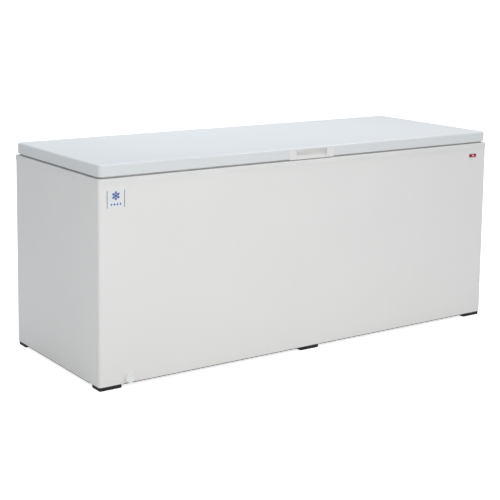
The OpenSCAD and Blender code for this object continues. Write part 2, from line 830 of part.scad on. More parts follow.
module fan_shroud() {
    low = [condenser_left - 6 - shroud_t, shroud_y, deck_top + 14];
    high = [condenser_right + 6 + shroud_t, shroud_y + shroud_t, bay_top - 10];
    color("silver") difference() {
        union() {
            block(low, high);
            rod_y(fan_x, fan_z, fan_r + fan_gap + 2, shroud_y, shroud_y + 20);
            for (x = [low.x, high.x - shroud_t]) // the side walls that hold the fins
                block([x, condenser_y + 2 * pipe_r, low.z], [x + shroud_t, shroud_y + lap, high.z]);
            block([low.x, shroud_y - 22, deck_top], [high.x, shroud_y, deck_top + shroud_t]);
            block([low.x, shroud_y, deck_top], [high.x, high.y, low.z + 1]);
        }
        rod_y(fan_x, fan_z, fan_r + fan_gap, shroud_y - past, shroud_y + 25);
    }
}

module fan_motor() {
    color("dimgray") {
        rod_y(fan_x, fan_z, motor_r, motor_y, motor_y + motor_l);
        rod_y(fan_x, fan_z, 14, motor_y - 8, motor_y + 1);
        rod_y(fan_x, fan_z, shaft_r, fan_y - 12, motor_y - 7);
    }
}

module fan_bracket() {
    y = motor_y + motor_l + 0.3;
    half = 30;
    color("silver") {
        block([fan_x - half, y, deck_top], [fan_x + half, y + bracket_t, fan_z + half]);
        block([fan_x - half, y, deck_top], [fan_x + half, y + 30, deck_top + bracket_t]);
    }
}

module fan_blades() {
    hub_r = 20;
    blade = [44, 1.6, fan_r - hub_r];
    color("gray") difference() {
        union() {
            rod_y(fan_x, fan_z, hub_r, fan_y - 9, fan_y + 11);
            for (k = [0 : 4])
                translate([fan_x, fan_y, fan_z]) rotate([0, 72 * k, 0]) translate([0, 0, hub_r - 2])
                    rotate([0, 0, blade_angle]) translate([-blade.x / 2, -blade.y / 2, 0]) cube(blade);
        }
        rod_y(fan_x, fan_z, shaft_r + pin_fit, fan_y - 20, fan_y + 20);
    }
}

module filter_drier() {
    y0 = condenser_y + 20;
    z = pass_z(0);
    length = 100;
    r = 10;
    taper = 12;
    color("peru") {
        pipe([[condenser_left - tube_end, condenser_y, z], [pipe_x, condenser_y, z], [pipe_x, y0 + 2, z]],
            pipe_r, line_bend);
        translate([pipe_x, y0, z]) rotate([-90, 0, 0]) rotate_extrude()
            polygon([[0, 0], [pipe_r, 0], [r, taper], [r, length - taper], [2, length], [0, length]]);
        rod_y(pipe_x, z, 1.5, y0 + length - 1, y0 + length + 60);
    }
}

module discharge_line() {
    x = compressor_x - stub_x;
    y = compressor_y - stub_l;
    top = pass_z(condenser_passes - 1);
    color("peru") pipe([[x, y, stub_z], [x, y - 30, stub_z], [pipe_x, y - 30, stub_z],
            [pipe_x, condenser_y, stub_z], [pipe_x, condenser_y, top],
            [condenser_left - tube_end, condenser_y, top]], pipe_r, line_bend);
}

module suction_line() {
    x = compressor_x + stub_x;
    high = bay_top - 25;
    color("peru") pipe([[x, compressor_y - stub_l, stub_z], [x, riser_y, stub_z], [x, riser_y, high],
            [riser_x, riser_y, high], [riser_x, riser_y, coil_start_z]], pipe_r, pipe_bend);
}

// The tube wound to and fro round the tank: each pass goes nearly all the way round,
// climbs, and comes back.
module evaporator_coil() {
    x = riser_x;
    y = tank_d / 2 + liner_t + coil_band / 2;
    turn_y = riser_y - y_mid;
    function pass(k) = let (s = k % 2 == 0 ? 1 : -1, z = coil_low + k * coil_pitch)
        [[x, s * turn_y, z], [x, s * y, z], [-x, s * y, z], [-x, -s * y, z], [x, -s * y, z],
            [x, -s * turn_y, z]];
    points = concat([[x, turn_y, coil_start_z]], [for (k = [0 : coil_passes - 1]) each pass(k)]);
    color("silver") translate([0, y_mid, 0]) pipe(points, pipe_r, coil_bend);
}

// ---- Grilles and controls ----

module side_grille_screw_places() {
    out = [side_window_d / 2 + grille_lap / 2, side_window_h / 2 + grille_lap / 2];
    for (y = [-1, 1])
        for (z = [-1, 1])
            translate([half_w, y_mid + y * out.x, side_window_z + side_window_h / 2 + z * out.y])
                children();
}

module side_grille() {
    slots = 8;
    slot_l = side_window_d - 40;
    pitch = side_window_h / slots;
    slat = [1.2, slot_l, 10.5];
    low_y = y_mid - side_window_d / 2 - grille_lap;
    function slot_z(i) = side_window_z + pitch * (i + 0.5);
    color("whitesmoke") difference() {
        union() {
            block([half_w, low_y, side_window_z - grille_lap],
                [half_w + side_grille_t, low_y + side_window_d + 2 * grille_lap,
                    side_window_z + side_window_h + grille_lap]);
            for (i = [0 : slots - 1])
                translate([half_w + 0.4, y_mid - slot_l / 2, slot_z(i) + 4.5])
                    rotate([0, slat_angle, 0]) translate([0, 0, -10]) cube(slat);
        }
        for (i = [0 : slots - 1])
            block([half_w - 9, y_mid - slot_l / 2 + 2, slot_z(i) - 5],
                [half_w + 0.39, y_mid + slot_l / 2 - 2, slot_z(i) + 3.8]);
        side_grille_screw_places() rotate([0, 90, 0]) screw_hole(grille_screw_r);
    }
}

module rear_flange_screw_places() {
    for (z = [pan_top + 25, bay_top - 25]) translate([half_w - rear_flange_w / 2, y_rear, z]) children();
}

module rear_grille_screw_places() {
    rear_flange_screw_places() children();
    for (z = [pan_top + 25, bay_top - 25]) translate([bay_left - 12, y_rear, z]) children();
}

module rear_grille() {
    slots = floor((bay_h - 2 * rear_slot_low - 6) / rear_slot_pitch);
    slot_l = bay_w - 110;
    color("darkgray") difference() {
        block([bay_left - 22, y_rear, z_base + 2], [half_w - 2, y_rear + rear_grille_t, bay_top + 14]);
        for (i = [0 : slots - 1])
            translate([bay_mid - slot_l / 2 - 14, y_rear - past,
                    z_base + rear_slot_low + i * rear_slot_pitch])
                cube([slot_l, rear_grille_t + 2 * past, rear_slot_h]);
        rod_y(thermostat_x, thermostat_z, 5 + hole_gap, y_rear - past, y_rear + 5);
        rod_y(inlet_x, inlet_z, gland_r + hole_gap, y_rear - past, y_rear + 5);
        rear_grille_screw_places() rotate([90, 0, 0]) screw_hole(grille_screw_r);
    }
}

module grille_screws() {
    head = [4, 1.8];
    color("silver") {
        side_grille_screw_places() translate([side_grille_t, 0, 0]) rotate([0, 90, 0])
            screw(grille_screw_r, side_grille_t + sheet_t, head.x, head.y);
        rear_grille_screw_places() translate([0, rear_grille_t, 0]) rotate([-90, 0, 0])
            screw(grille_screw_r, rear_grille_t, head.x, head.y);
    }
}

module thermostat() {
    face_y = y_rear + rear_grille_t;
    color("gainsboro") {
        block([thermostat_x - 22, y_rear - 30, thermostat_z - 18],
            [thermostat_x + 22, y_rear - 0.2, thermostat_z + 18]);
        rod_y(thermostat_x, thermostat_z, 5, y_rear - 1, face_y + 1);
        rod_y(thermostat_x, thermostat_z, spindle_r, y_rear, face_y + 9);
    }
}

module thermostat_knob() {
    y0 = y_rear + rear_grille_t + 1.3;
    flange_t = 3.5;
    grip_r = knob_r - 4;
    color("#1c1c1d") difference() {
        union() {
            rod_y(thermostat_x, thermostat_z, knob_r, y0, y0 + flange_t);
            rod_y(thermostat_x, thermostat_z, grip_r, y0 + flange_t - 0.1, y0 + knob_l);
            block([thermostat_x - 1.2, y0 + flange_t - 0.1, thermostat_z + 8],
                [thermostat_x + 1.2, y0 + knob_l + 0.8, thermostat_z + grip_r]);
        }
        rod_y(thermostat_x, thermostat_z, spindle_r + pin_fit, y0 - past, y0 + 8);
    }
}

module power_inlet() {
    collar_r = 12;
    color("#1c1c1d") difference() {
        union() {
            rod_y(inlet_x, inlet_z, gland_r, y_rear - 8, y_rear + rear_grille_t + lap);
            rod_y(inlet_x, inlet_z, collar_r, y_rear + rear_grille_t, y_rear + rear_grille_t + 5);
            rod_y(inlet_x, inlet_z, collar_r, y_rear - 8, y_rear - 0.3);
        }
        rod_y(inlet_x, inlet_z, gland_bore_r, y_rear - 10, y_rear + 20);
    }
}

// ---- Baskets ----

// A wire bent into a U, with its bottom from -half to half along X and its ends rising to top.
module wire_u(half, low, top) {
    pipe([[-half, 0, top], [-half, 0, low], [half, 0, low], [half, 0, top]], wire_d / 2, basket_bend);
}

// Evenly spaced places along a line from -half to half, no further apart than the gap.
function spread(half, gap) = let (n = ceil(2 * half / gap))
    [for (i = [0 : n]) -half + 2 * half * i / n];

module basket(x) {
    r = wire_d / 2;
    low = basket_rim_z - basket_h;
    weld = 0.9 * wire_d; // distance of two crossing wires' centres
    half_l = basket_l / 2 - r - weld;
    half_d = basket_d / 2 - r - weld;
    hook_y = basket_d / 2 - r + weld;
    hook_z = z_rim + hook_lift + r;
    color("white") translate([x, y_mid, 0]) {
        for (z = [low + basket_h / 2, basket_rim_z])
            translate([0, 0, z]) frame_sweep(basket_l, basket_d, basket_corner_r)
                translate([basket_corner_r - r, 0]) circle(r);
        for (wire_x = spread(half_l - basket_bend - r, basket_gap))
            translate([wire_x, 0, 0]) rotate([0, 0, 90]) wire_u(half_d, low + r, basket_rim_z + r);
        for (wire_y = spread(half_d - basket_bend - r, basket_gap))
            translate([0, wire_y, 0]) wire_u(half_l, low + r + weld, basket_rim_z + r);
        for (side = [-1, 1])
            for (end = [-1, 1])
                translate([end * basket_l / 3, 0, 0])
                    pipe([[0, side * hook_y, basket_rim_z - 3 * wire_d], [0, side * hook_y, hook_z],
                            [0, side * (opening_d / 2 + hook_reach), hook_z]], r, 1.5 * wire_d);
    }
}

// ---- Lid ----

module lid_outer_pan() {
    r = lid_corner_r;
    color("white") difference() {
        translate([0, y_mid, lid_z]) {
            frame_sweep(lid_w, lid_d, r) {
                difference() {
                    crowned_profile(r, lid_t, lid_edge_r);
                    translate([0, -lap])
                        crowned_profile(r - sheet_t, lid_t - sheet_t + lap, lid_edge_r - sheet_t);
                }
                translate([r - lid_lip_w, 0]) square([lid_lip_w - sheet_t + lap, sheet_t]);
            }
            translate([-lid_w / 2 + r, -lid_d / 2 + r, lid_t - sheet_t])
                cube([lid_w - 2 * r, lid_d - 2 * r, sheet_t]);
        }
        cup_reach = cup_w / 2 + handle_fit;
        block([handle_off - cup_reach, lid_front - past, scoop_z - handle_t - handle_fit],
            [handle_off + cup_reach, lid_front + sheet_t + 3, scoop_z + scoop_h + handle_t + handle_fit]);
        hinge_places() lid_screw_places() rotate([90, 0, 0]) screw_hole(hinge_screw_r);
    }
}

module lid_foam() {
    gap = sheet_t + foam_gap;
    tray = inner_pan_t + foam_gap;
    low = lid_z + tray;
    core = [lid_w - 2 * lid_edge_r, lid_d - 2 * lid_edge_r];
    plug = [opening_w - 2 * plug_gap - 2 * tray, opening_d - 2 * plug_gap - 2 * tray];
    cup_reach = cup_w / 2 + handle_room;
    color("khaki") difference() {
        translate([0, y_mid, 0]) {
            translate([0, 0, low])
                round_slab(lid_w - 2 * gap, lid_d - 2 * gap, lid_top - lid_edge_r - low,
                    lid_corner_r - gap);
            translate([0, 0, low])
                round_slab(core.x, core.y, lid_top - gap - low, lid_corner_r - lid_edge_r + 1);
            translate([0, 0, lid_z - plug_depth + tray])
                round_slab(plug.x, plug.y, plug_depth + 5, liner_r - tray);
        }
        block([handle_off - cup_reach, lid_front - past, lid_z],
            [handle_off + cup_reach, lid_front + cup_d + handle_room, scoop_z + cup_h]);
        hinge_places() lid_screw_places() rotate([90, 0, 0]) screw_hole(hinge_screw_r + 1, 2 * 16);
    }
}

module lid_inner_pan() {
    edge = lid_lip_w + 0.5;
    w = opening_w - 2 * plug_gap;
    d = opening_d - 2 * plug_gap;
    color("ghostwhite") translate([0, y_mid, 0]) difference() {
        union() {
            translate([0, 0, lid_z])
                round_slab(lid_w - 2 * edge, lid_d - 2 * edge, inner_pan_t, lid_corner_r - edge + 2);
            translate([0, 0, lid_z - plug_depth]) round_slab(w, d, plug_depth + lap, liner_r);
        }
        translate([0, 0, lid_z - plug_depth + inner_pan_t])
            round_slab(w - 2 * inner_pan_t, d - 2 * inner_pan_t, plug_depth + 5, liner_r - inner_pan_t);
    }
}

module lid_gasket() {
    w = lid_w - 2 * gasket_inset;
    d = lid_d - 2 * gasket_inset;
    h = gasket_h;
    r = gasket_w + 4;
    inner = r - gasket_w;
    half = [[r - 2, 0], [r, 1.5], [r, h * 0.5], [r - 2, h * 0.65], [r - 0.5, h * 0.8], [r - 0.5, h]];
    other = [for (i = [len(half) - 1 : -1 : 0]) [inner + r - half[i].x, half[i].y]];
    color("lightgray") translate([0, y_mid, z_rim]) frame_sweep(w, d, r) polygon(concat(half, other));
}

module lid_handle() {
    front = lid_front - handle_proud;
    back = lid_front + scoop_d;
    low = scoop_z - handle_t;
    top = scoop_z + scoop_h;
    slope = 10; // height of the cup's upright back
    color("white") translate([handle_off, 0, 0]) difference() {
        union() {
            translate([0, front, handle_z + handle_h / 2]) rotate([-90, 0, 0])
                round_slab(handle_w, handle_h, handle_proud, 4);
            translate([-cup_w / 2, 0, 0]) rotate([90, 0, 90]) linear_extrude(cup_w)
                polygon([[lid_front - lap, low], [lid_front - lap, top + handle_t],
                        [back + handle_t, top + handle_t], [back + handle_t, top - slope],
                        [lid_front + 3 + handle_t, low]]);
        }
        translate([-scoop_w / 2, 0, 0]) rotate([90, 0, 90]) linear_extrude(scoop_w)
            polygon([[front - past, scoop_z], [front - past, top], [back, top], [back, top - slope + 1],
                    [lid_front + 2, scoop_z]]);
    }
}

// ---- Hinges ----

// Places children at each hinge, on the cabinet's rear face level with the top of the rim.
module hinge_places() {
    for (side = [-1, 1]) translate([side * (half_w - hinge_inset), y_rear, z_rim]) children();
}

module at_hinge(side) {
    translate([side * (half_w - hinge_inset), 0, 0]) children();
}

module leaf_screw_places() {
    for (x = [-1, 1])
        for (z = [-40, -leaf_h + 8]) translate([x * (hinge_w / 2 - leaf_screw_in), 0, z]) children();
}

module lid_screw_places() {
    for (x = [-1, 1])
        translate([x * (hinge_w / 2 - leaf_screw_in), -lid_inset, gasket_h + lid_leaf_h / 2 + 3])
            children();
}

module knuckle(x0, x1) {
    rod_x(hinge_y, hinge_z, hinge_barrel_r, x0, x1);
}

module hinge_cabinet_leaf(side) {
    color("silver") at_hinge(side) difference() {
        union() {
            block([-hinge_w / 2, y_rear, z_rim - leaf_h], [hinge_w / 2, y_rear + leaf_t, z_rim - 3]);
            for (x = [-hinge_w / 2, hinge_w / 2 - knuckle_w]) {
                block([x, y_rear, z_rim - 6], [x + knuckle_w, hinge_y, hinge_z - 3]);
                knuckle(x, x + knuckle_w);
            }
        }
        rod_x(hinge_y, hinge_z, hinge_pin_r + pin_fit, -hinge_w, hinge_w);
        translate([0, y_rear, z_rim]) leaf_screw_places() rotate([90, 0, 0]) screw_hole(hinge_screw_r);
    }
}

module hinge_lid_leaf(side) {
    x1 = hinge_w / 2 - knuckle_w - knuckle_gap;
    x0 = x1 - lid_knuckle_w;
    z0 = lid_z + 2; // the leaf's lower edge
    color("silver") at_hinge(side) difference() {
        union() {
            block([-hinge_w / 2, lid_rear, z0], [hinge_w / 2, lid_rear + leaf_t, z0 + lid_leaf_h]);
            block([x0, lid_rear, z0 - 1], [x1, hinge_y, z0 + 2]);
            knuckle(x0, x1);
        }
        rod_x(hinge_y, hinge_z, hinge_pin_r + pin_fit, -hinge_w, hinge_w);
        translate([0, y_rear, z_rim]) lid_screw_places() rotate([90, 0, 0]) screw_hole(hinge_screw_r);
    }
}

module hinge_pin(side) {
    color("gray") at_hinge(side) {
        rod_x(hinge_y, hinge_z, hinge_pin_r, -hinge_w / 2 - 2, hinge_w / 2 + 2);
        rod_x(hinge_y, hinge_z, hinge_pin_r + 2, -hinge_w / 2 - 4, -hinge_w / 2 - 0.2);
        rod_x(hinge_y, hinge_z, hinge_pin_r + 1.5, hinge_w / 2 + 0.2, hinge_w / 2 + 1.4);
    }
}

// Points of one ring of the spring's wire, of radius r, on a helix of radius coil_r at angle a.
function ring_points(x, a, coil_r, r, sides) = [for (k = [0 : sides - 1])
    let (t = 360 * k / sides, q = coil_r + r * cos(t))
        [x + r * sin(t), hinge_y + q * cos(a), hinge_z + q * sin(a)]];

module hinge_spring(side) {
    sides = 8;
    wire_r = 0.9;
    coil_r = hinge_pin_r + pin_fit + wire_r + 0.6;
    x0 = -hinge_w / 2 + knuckle_w + 1.6;
    x1 = hinge_w / 2 - knuckle_w - knuckle_gap - lid_knuckle_w - 1.6;
    turns = floor((x1 - x0) / (3 * wire_r));
    steps = 16 * turns;
    points = [for (s = [0 : steps])
        each ring_points(x0 + (x1 - x0) * s / steps, 360 * turns * s / steps, coil_r, wire_r, sides)];
    walls = [for (s = [0 : steps - 1]) for (k = [0 : sides - 1])
        let (a = s * sides + k, b = s * sides + (k + 1) % sides) [a, b, b + sides, a + sides]];
    ends = [[for (k = [sides - 1 : -1 : 0]) k], [for (k = [0 : sides - 1]) steps * sides + k]];
    color("slategray") at_hinge(side) polyhedron(points, concat(walls, ends));
}

module hinge_screws_cabinet() {
    color("silver") hinge_places() leaf_screw_places()
        translate([0, leaf_t, 0]) rotate([-90, 0, 0])
            screw(hinge_screw_r, leaf_t + 12, hinge_screw_head.x, hinge_screw_head.y);
}

module hinge_screws_lid() {
    color("silver") hinge_places() lid_screw_places()
        translate([0, leaf_t, 0]) rotate([-90, 0, 0])
            screw(hinge_screw_r, leaf_t + 9, hinge_screw_head.x, hinge_screw_head.y);
}

outer_wrap();
rear_panel();
base_pan();
cabinet_foam();
tank_liner();
rim_trim();
foot(-1, -1);  // foot_front_left
foot(0, -1);  // foot_front_middle
foot(1, -1);  // foot_front_right
foot(-1, 1);  // foot_rear_left
foot(0, 1);  // foot_rear_middle
foot(1, 1);  // foot_rear_right
foot_screws();
drain_spout();
drain_cap();
drain_tube();
drain_plug();
lamp_housing();
lamp_lens();
badge_plate();
bay_bulkhead();
machine_deck();
compressor();
compressor_grommets();
compressor_bolts();
compressor_terminal_cover();
condenser_fins();
condenser_tube();
fan_shroud();
fan_motor();
fan_bracket();
fan_blades();
filter_drier();
suction_line();
discharge_line();
thermostat();
thermostat_knob();
power_inlet();
rear_grille();
side_grille();
grille_screws();
evaporator_coil();
basket(basket_left_x);  // basket_left
basket(basket_right_x);  // basket_right
lid_outer_pan();
lid_foam();
lid_inner_pan();
lid_gasket();
lid_handle();
hinge_cabinet_leaf(-1);  // hinge_cabinet_leaf_left
hinge_cabinet_leaf(1);  // hinge_cabinet_leaf_right
hinge_lid_leaf(-1);  // hinge_lid_leaf_left
hinge_lid_leaf(1);  // hinge_lid_leaf_right
hinge_pin(-1);  // hinge_pin_left
hinge_pin(1);  // hinge_pin_right
hinge_spring(-1);  // hinge_spring_left
hinge_spring(1);  // hinge_spring_right
hinge_screws_cabinet();
hinge_screws_lid();
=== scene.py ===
# Chest freezer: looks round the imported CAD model.
import json
import math
import bmesh
import bpy
import numpy as np
from mathutils import Matrix, Vector


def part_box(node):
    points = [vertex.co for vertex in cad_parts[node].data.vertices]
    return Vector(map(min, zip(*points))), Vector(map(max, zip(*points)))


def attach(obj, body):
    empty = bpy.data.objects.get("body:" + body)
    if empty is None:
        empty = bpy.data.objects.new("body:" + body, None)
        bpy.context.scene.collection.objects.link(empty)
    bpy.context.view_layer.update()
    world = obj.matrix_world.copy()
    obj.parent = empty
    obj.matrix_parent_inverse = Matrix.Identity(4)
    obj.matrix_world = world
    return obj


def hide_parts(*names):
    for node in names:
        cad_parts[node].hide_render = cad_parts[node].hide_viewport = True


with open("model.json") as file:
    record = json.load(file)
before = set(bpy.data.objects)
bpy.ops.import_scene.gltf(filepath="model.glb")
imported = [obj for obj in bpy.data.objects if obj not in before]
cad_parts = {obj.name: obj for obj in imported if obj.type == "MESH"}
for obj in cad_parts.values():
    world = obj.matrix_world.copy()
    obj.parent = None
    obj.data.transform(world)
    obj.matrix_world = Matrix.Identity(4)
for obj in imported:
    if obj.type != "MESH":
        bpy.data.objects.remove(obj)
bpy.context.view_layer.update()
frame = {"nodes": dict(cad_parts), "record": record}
cad = frame["nodes"]

cameraView = {
    "place": (-3.0173, -4.2066, 1.532),
    "yaw": 35.071,    # degrees clockwise from +Y
    "pitch": 7.790,   # degrees below the horizon
    "roll": 0.737,
    "lens": 88.35,
    "shiftY": -0.22,  # keeps the upright edges nearly parallel
}


def makeCamera(view):
    data = bpy.data.cameras.new("camera")
    data.lens, data.sensor_width, data.shift_y = view["lens"], 36.0, view["shiftY"]
    data.clip_start, data.clip_end = 0.05, 200.0
    yaw, pitch, roll = (math.radians(view[k]) for k in ("yaw", "pitch", "roll"))
    ahead = Vector((math.sin(yaw) * math.cos(pitch), math.cos(yaw) * math.cos(pitch), -math.sin(pitch)))
    right = Vector((math.cos(yaw), -math.sin(yaw), 0.0))
    up = right.cross(ahead)
    side = right * math.cos(roll) + up * math.sin(roll)
    top = up * math.cos(roll) - right * math.sin(roll)
    camera = bpy.data.objects.new("camera", data)
    turn = Matrix((side, top, -ahead)).transposed().to_4x4()
    camera.matrix_world = Matrix.Translation(view["place"]) @ turn
    bpy.context.scene.collection.objects.link(camera)
    bpy.context.scene.camera = camera


studio = {
    "sky": 0.59,                               # even light from all round
    "backdrop": 0.06,                          # extra from the white wall behind, on the far side
    "backdropToward": (0.55, 0.80, 0.10),
    "skyLow": (1.0, 0.985, 0.95),
    "skyHigh": (0.88, 0.98, 1.12),
    "floorColour": (0.80, 0.80, 0.79, 1.0),
    "floorGlow": 0.8,
    "floorRadius": 60.0,
    "floorPoints": 96,
    "sunToLight": (0.18, -0.38, 0.90),
    "sunAngle": 30.0,
    "sunStrength": 0.22,
    "boxes": {
        "frontBox": {"place": (-0.55, -2.4, 1.2), "aim": (-0.2, 0.0, 0.5), "size": 1.2, "power": 9.5},
        "cornerBox": {"place": (-2.3, -1.4, 0.6), "aim": (-0.9, -0.3, 0.4), "size": 0.9, "power": 2.6},
        "topBox": {"place": (-0.2, 0.9, 2.4), "aim": (-0.1, 0.15, 0.8), "size": 1.3, "power": 15.0,
                   "tint": (0.82, 0.90, 1.0)},
        "edgeBox": {"place": (1.5, -0.7, 2.9), "aim": (0.1, -0.35, 0.83), "size": 1.2, "power": 14.0},
    },
}


def makeWorld(settings):
    # sky: mixes two tints by height; the backdrop adds a share that grows toward one direction
    world = bpy.data.worlds.new("studio")
    bpy.context.scene.world = world
    world.use_nodes = True
    tree = world.node_tree
    tree.nodes.clear()
    toward = tree.nodes.new("ShaderNodeTexCoord").outputs["Generated"]
    height = tree.nodes.new("ShaderNodeSeparateXYZ")
    tree.links.new(toward, height.inputs["Vector"])
    sky = tree.nodes.new("ShaderNodeMix")
    sky.data_type = "RGBA"
    tree.links.new(height.outputs["Z"], sky.inputs[0])
    sky.inputs[6].default_value = (*settings["skyLow"], 1)
    sky.inputs[7].default_value = (*settings["skyHigh"], 1)
    facing = tree.nodes.new("ShaderNodeVectorMath")
    facing.operation = "DOT_PRODUCT"
    tree.links.new(toward, facing.inputs[0])
    facing.inputs[1].default_value = Vector(settings["backdropToward"]).normalized()
    wall = tree.nodes.new("ShaderNodeMapRange")
    wall.interpolation_type = "SMOOTHSTEP"
    wall.inputs["From Min"].default_value = 0.45
    wall.inputs["From Max"].default_value = 0.98
    wall.inputs["To Min"].default_value = settings["sky"]
    wall.inputs["To Max"].default_value = settings["sky"] + settings["backdrop"]
    tree.links.new(facing.outputs["Value"], wall.inputs["Value"])
    lit = tree.nodes.new("ShaderNodeBackground")       # what lights the room
    tree.links.new(sky.outputs[2], lit.inputs["Color"])
    tree.links.new(wall.outputs["Result"], lit.inputs["Strength"])
    seen = tree.nodes.new("ShaderNodeBackground")      # what is seen past the floor's edge
    seen.inputs["Color"].default_value = (1, 1, 1, 1)
    path = tree.nodes.new("ShaderNodeLightPath")
    mix = tree.nodes.new("ShaderNodeMixShader")
    out = tree.nodes.new("ShaderNodeOutputWorld")
    tree.links.new(path.outputs["Is Camera Ray"], mix.inputs["Fac"])
    tree.links.new(lit.outputs["Background"], mix.inputs[1])
    tree.links.new(seen.outputs["Background"], mix.inputs[2])
    tree.links.new(mix.outputs["Shader"], out.inputs["Surface"])


def makeLights(settings):
    sun = bpy.data.lights.new("sun", "SUN")
    sun.angle, sun.energy = math.radians(settings["sunAngle"]), settings["sunStrength"]
    sunObject = bpy.data.objects.new("sun", sun)
    sunObject.rotation_euler = Vector(settings["sunToLight"]).to_track_quat("Z", "Y").to_euler()
    bpy.context.scene.collection.objects.link(sunObject)
    for name, box in settings["boxes"].items():
        data = bpy.data.lights.new(name, "AREA")
        data.size, data.energy = box["size"], box["power"]
        data.color = box.get("tint", (1.0, 1.0, 1.0))
        boxObject = bpy.data.objects.new(name, data)
        boxObject.location = box["place"]
        aim = Vector(box["aim"]) - Vector(box["place"])
        boxObject.rotation_euler = aim.to_track_quat("-Z", "Y").to_euler()
        boxObject.visible_camera = False
        bpy.context.scene.collection.objects.link(boxObject)


def makeFloor(settings):
    # a flat disc: points at even angles round one centre
    count = settings["floorPoints"]
    angle = np.linspace(0, 2 * np.pi, count, endpoint=False)
    rim = np.stack([np.cos(angle), np.sin(angle), np.zeros(count)], 1) * settings["floorRadius"]
    mesh = bpy.data.meshes.new("floor")
    mesh.from_pydata(rim.tolist(), [], [list(range(count))])
    floor = bpy.data.objects.new("floor", mesh)
    bpy.context.scene.collection.objects.link(floor)
    material = bpy.data.materials.new("floorPaper")
    material.use_nodes = True
    tree = material.node_tree
    shader = tree.nodes["Principled BSDF"]
    shader.inputs["Base Color"].default_value = settings["floorColour"]
    shader.inputs["Roughness"].default_value = 0.9
    shader.inputs["Specular IOR Level"].default_value = 0.1
    shader.inputs["Emission Color"].default_value = (1, 1, 1, 1)
    glow = tree.nodes.new("ShaderNodeMath")            # bright to look at, without lighting the freezer
    glow.operation = "MULTIPLY"
    glow.inputs[1].default_value = settings["floorGlow"]
    tree.links.new(tree.nodes.new("ShaderNodeLightPath").outputs["Is Camera Ray"], glow.inputs[0])
    tree.links.new(glow.outputs["Value"], shader.inputs["Emission Strength"])
    mesh.materials.append(material)


bpy.context.scene.view_settings.view_transform = "Standard"
makeCamera(cameraView)
makeWorld(studio)
makeLights(studio)
makeFloor(studio)
print("camera and studio set")


# finishes are built from noise, cells and bump on Object coordinates
def startMaterial(name, roughness=0.4, metallic=0.0, specular=0.5):
    material = bpy.data.materials.new(name)
    material.use_nodes = True
    tree = material.node_tree
    shader = tree.nodes["Principled BSDF"]
    shader.inputs["Roughness"].default_value = roughness
    shader.inputs["Metallic"].default_value = metallic
    shader.inputs["Specular IOR Level"].default_value = specular
    place = tree.nodes.new("ShaderNodeTexCoord").outputs["Object"]
    return material, tree, shader, place


def stretch(tree, place, scale):
    node = tree.nodes.new("ShaderNodeMapping")
    node.inputs["Scale"].default_value = scale
    tree.links.new(place, node.inputs["Vector"])
    return node.outputs["Vector"]


def noise(tree, place, scale, detail=3.0, roughness=0.5):
    node = tree.nodes.new("ShaderNodeTexNoise")
    node.inputs["Scale"].default_value = scale
    node.inputs["Detail"].default_value = detail
    node.inputs["Roughness"].default_value = roughness
    tree.links.new(place, node.inputs["Vector"])
    return node.outputs["Fac"]


def cells(tree, place, scale, feature="F1", output="Distance"):
    node = tree.nodes.new("ShaderNodeTexVoronoi")
    node.feature = feature
    node.inputs["Scale"].default_value = scale
    tree.links.new(place, node.inputs["Vector"])
    return node.outputs[output]


def mapped(tree, value, low, high, fromLow=0.0, fromHigh=1.0):
    node = tree.nodes.new("ShaderNodeMapRange")
    node.inputs["From Min"].default_value = fromLow
    node.inputs["From Max"].default_value = fromHigh
    node.inputs["To Min"].default_value = low
    node.inputs["To Max"].default_value = high
    tree.links.new(value, node.inputs["Value"])
    return node.outputs["Result"]


def sums(tree, kind, first, second):
    node = tree.nodes.new("ShaderNodeMath")
    node.operation = kind
    for i, value in enumerate((first, second)):
        if hasattr(value, "default_value"):
            tree.links.new(value, node.inputs[i])
        else:
            node.inputs[i].default_value = value
    return node.outputs["Value"]


def blend(tree, factor, low, high):
    node = tree.nodes.new("ShaderNodeMix")
    node.data_type = "RGBA"
    node.inputs[0].default_value = 0.5
    tree.links.new(factor, node.inputs[0])
    for i, colour in ((6, low), (7, high)):
        if hasattr(colour, "default_value"):
            tree.links.new(colour, node.inputs[i])
        else:
            node.inputs[i].default_value = (*colour, 1.0)
    return node.outputs[2]


def addBump(tree, shader, height, strength, distance):
    node = tree.nodes.new("ShaderNodeBump")
    node.inputs["Strength"].default_value = strength
    node.inputs["Distance"].default_value = distance
    tree.links.new(height, node.inputs["Height"])
    earlier = shader.inputs["Normal"].links
    if earlier:
        tree.links.new(earlier[0].from_socket, node.inputs["Normal"])
    tree.links.new(node.outputs["Normal"], shader.inputs["Normal"])


def shade(colour, factor):
    return tuple(min(1.0, c * factor) for c in colour)


def paintedSheet(name, colour, roughness=0.36, peel=1.0):
    # powder paint on steel: slow drift of tone, faint haze from handling, fine orange peel; peel scales both
    material, tree, shader, place = startMaterial(name, roughness)
    drift = noise(tree, place, 1.7, 2.0)
    tone = blend(tree, mapped(tree, drift, 0, 1, 0.3, 0.7), shade(colour, 0.985), shade(colour, 1.012))
    speck = mapped(tree, noise(tree, place, 420.0, 2.0), 0, 1, 0.66, 0.74)
    tree.links.new(blend(tree, speck, tone, shade(colour, 1.0 - 0.04 * peel)), shader.inputs["Base Color"])
    haze = noise(tree, place, 9.0, 5.0, 0.6)
    tree.links.new(mapped(tree, haze, roughness - 0.02 * peel, roughness + 0.03 * peel, 0.3, 0.7),
                   shader.inputs["Roughness"])
    addBump(tree, shader, noise(tree, place, 650.0, 2.0), 0.06 * peel, 0.0003)
    shader.inputs["Coat Weight"].default_value = 0.08
    shader.inputs["Coat Roughness"].default_value = 0.25
    return material


